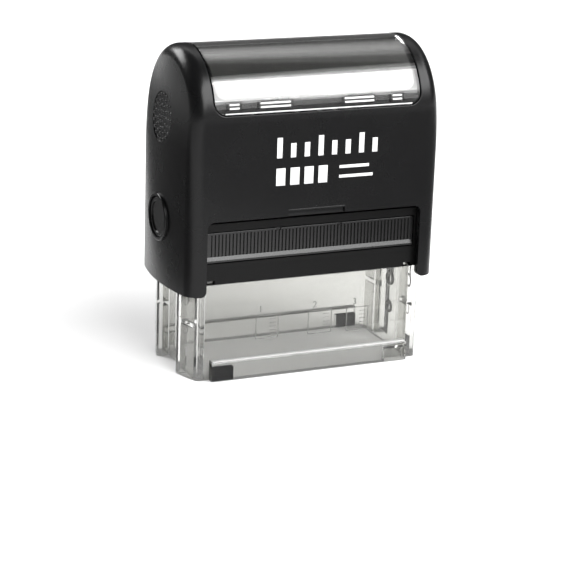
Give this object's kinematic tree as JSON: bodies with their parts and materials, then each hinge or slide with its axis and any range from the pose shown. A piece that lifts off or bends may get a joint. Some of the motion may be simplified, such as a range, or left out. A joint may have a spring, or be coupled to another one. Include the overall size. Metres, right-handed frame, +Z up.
{
  "type": "self-inking stamp",
  "caption": "Self-inking rubber stamp with a black press-down cap over a clear smoky base, a bowed index window and round lock buttons.",
  "frame": {"origin": "centre of the base's footprint, on the surface it stands on", "axes": "+Z up through the cap, +X to the right along the text plate, the front faces -Y"},
  "size_m": [0.0764, 0.0356, 0.087],
  "materials": {
    "cap_black": "semi-gloss",
    "window_clear": "gloss, clear plastic",
    "card": "grey card",
    "base_clear": "gloss, smoky clear plastic",
    "frame_black": "satin",
    "button_black": "gloss",
    "foot_rubber": "gloss",
    "cartridge_black": "satin",
    "ink_felt": "inked felt",
    "platen_grey": "satin",
    "cushion": "foam",
    "die_rubber": "matte",
    "spring_steel": "drawn wire"
  },
  "bodies": {
    "base": {"base_frame": "base_clear", "upper_frame": "frame_black", "foot_front_left": "foot_rubber", "foot_back_right": "foot_rubber", "main_spring": "spring_steel"},
    "cap": {"cap_shell": "cap_black", "index_card": "card", "bridge": "frame_black"},
    "window": {"index_window": "window_clear"},
    "platen": {"platen": "platen_grey", "die_cushion": "cushion", "rubber_die": "die_rubber"},
    "lock_left": {"lock_button_left": "button_black"},
    "lock_right": {"lock_button_right": "button_black"},
    "cartridge": {"cartridge_tray": "cartridge_black", "ink_pad": "ink_felt"}
  },
  "joints": [
    {"name": "cap_press", "type": "slide", "parent": "base", "child": "cap", "axis": [0, 0, -1], "range_m": [0, 0.022], "stiffness_N_per_m": 500, "springref_m": -0.008, "deforming": ["main_spring"]},
    {"name": "platen_turn", "type": "hinge", "parent": "cap", "child": "platen", "pos_m": [0, 0, 0.0269], "axis": [1, 0, 0], "range_deg": [0, 180]},
    {"name": "lock_left_press", "type": "slide", "parent": "cap", "child": "lock_left", "axis": [1, 0, 0], "range_m": [0, 0.001], "stiffness_N_per_m": 400, "springref_m": -0.001},
    {"name": "lock_right_press", "type": "slide", "parent": "cap", "child": "lock_right", "axis": [-1, 0, 0], "range_m": [0, 0.001], "stiffness_N_per_m": 400, "springref_m": -0.001},
    {"name": "cartridge_slide", "type": "slide", "parent": "base", "child": "cartridge", "axis": [0, 1, 0], "range_m": [-0.04, 0]},
    {"name": "window_lift", "type": "slide", "parent": "cap", "child": "window", "axis": [0, 0, 1], "range_m": [0, 0.012]}
  ],
  "couplings": [
    {"joint": "platen_turn", "follows": "cap_press", "rad_per_m": 142.79}
  ]
}
